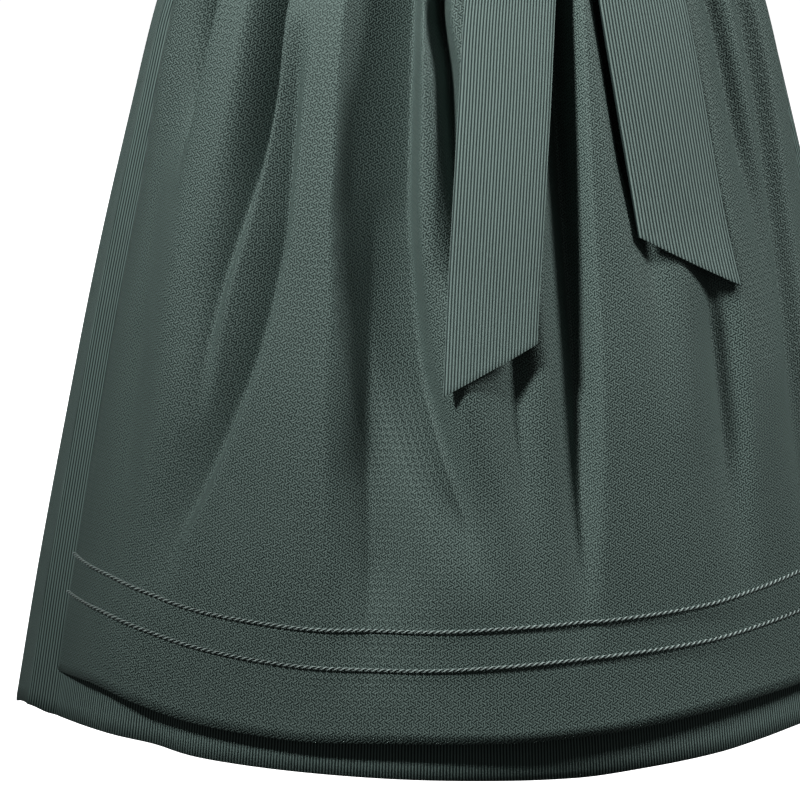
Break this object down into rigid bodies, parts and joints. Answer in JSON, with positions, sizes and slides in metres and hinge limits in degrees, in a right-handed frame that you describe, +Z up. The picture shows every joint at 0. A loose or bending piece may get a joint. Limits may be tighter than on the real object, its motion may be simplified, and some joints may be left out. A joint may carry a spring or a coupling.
{
  "type": "dirndl dress with apron",
  "caption": "Sleeveless worn-form folk dress: fitted panelled bodice on two shoulder straps, flared gathered skirt, and a corded apron tied at the waist with a sash bow.",
  "frame": {"origin": "where the wearer's shoulders carry the straps: midway between the undersides of the two straps at their highest", "axes": "+Z up, the front of the dress faces -Y, +X is towards the viewer's right, which is the wearer's left"},
  "size_m": [0.663, 0.5431, 1.1015],
  "materials": {
    "striped_cloth": "fine ribbed stripe in dark grey-green, faint sheen",
    "sash_cloth": "the same fine ribbed stripe, pressed double and lighter",
    "apron_cloth": "jacquard of small hatched lozenges, soft sheen",
    "twisted_cord": "two-ply twisted cord, pale grey-green",
    "button": "plain dark horn-like button"
  },
  "bodies": {
    "root": {"skirt_front": "striped_cloth", "skirt_back": "striped_cloth", "bodice_front_left": "striped_cloth", "bodice_front_right": "striped_cloth", "bodice_side_left": "striped_cloth", "bodice_side_right": "striped_cloth", "bodice_back": "striped_cloth", "strap_left": "striped_cloth", "strap_right": "striped_cloth", "button_band": "striped_cloth", "button_1": "button", "button_2": "button", "button_3": "button", "button_4": "button", "button_5": "button", "apron_panel": "apron_cloth", "apron_waistband": "apron_cloth", "apron_piping_lower": "twisted_cord", "apron_piping_upper": "twisted_cord", "sash_wrap": "sash_cloth", "sash_tail_left": "sash_cloth", "sash_tail_right": "sash_cloth", "bow_loop_left": "sash_cloth", "bow_loop_right": "sash_cloth", "bow_knot": "sash_cloth"}
  },
  "joints": []
}
